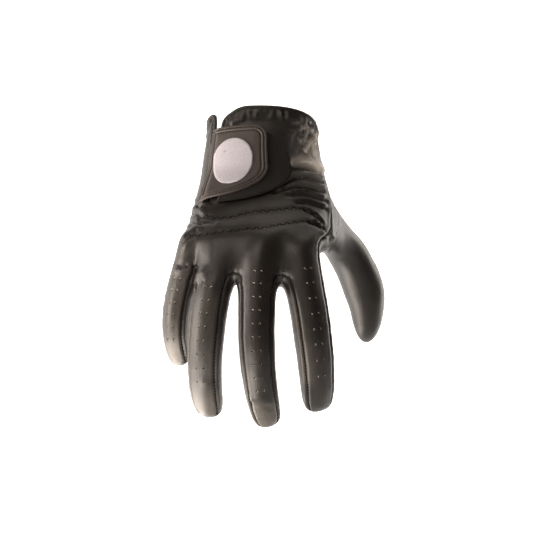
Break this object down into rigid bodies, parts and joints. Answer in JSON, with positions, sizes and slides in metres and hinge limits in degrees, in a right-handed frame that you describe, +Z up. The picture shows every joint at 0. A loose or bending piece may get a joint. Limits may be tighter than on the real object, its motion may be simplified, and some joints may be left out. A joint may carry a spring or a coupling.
{
  "type": "bowling glove",
  "caption": "Right-hand bowling glove of thin leather in its worn shape, with a bound, slit wrist, a rounded closure tab over loop fabric, a sewn-in thumb and strips between the fingers.",
  "frame": {"origin": "middle of the wrist, at the level of the closure tab", "axes": "+Z up the forearm, -Y out of the back of the hand, +X towards the thumb"},
  "size_m": [0.1395, 0.111, 0.1931],
  "materials": {
    "leather": "black sheepskin, semi-matt with a soft sheen",
    "tab_leather": "black leather, padded, semi-matt",
    "binding": "black binding, matt",
    "loop_fabric": "black loop fabric, matt",
    "badge_cloth": "pale grey woven cloth, bare"
  },
  "bodies": {
    "root": {"back_panel": "leather", "palm_panel": "leather", "fourchette_little_ring": "leather", "fourchette_ring_middle": "leather", "fourchette_middle_index": "leather", "thumb": "leather", "cuff_binding": "binding", "loop_patch": "loop_fabric", "closure_tab": "tab_leather", "badge": "badge_cloth"}
  },
  "joints": []
}
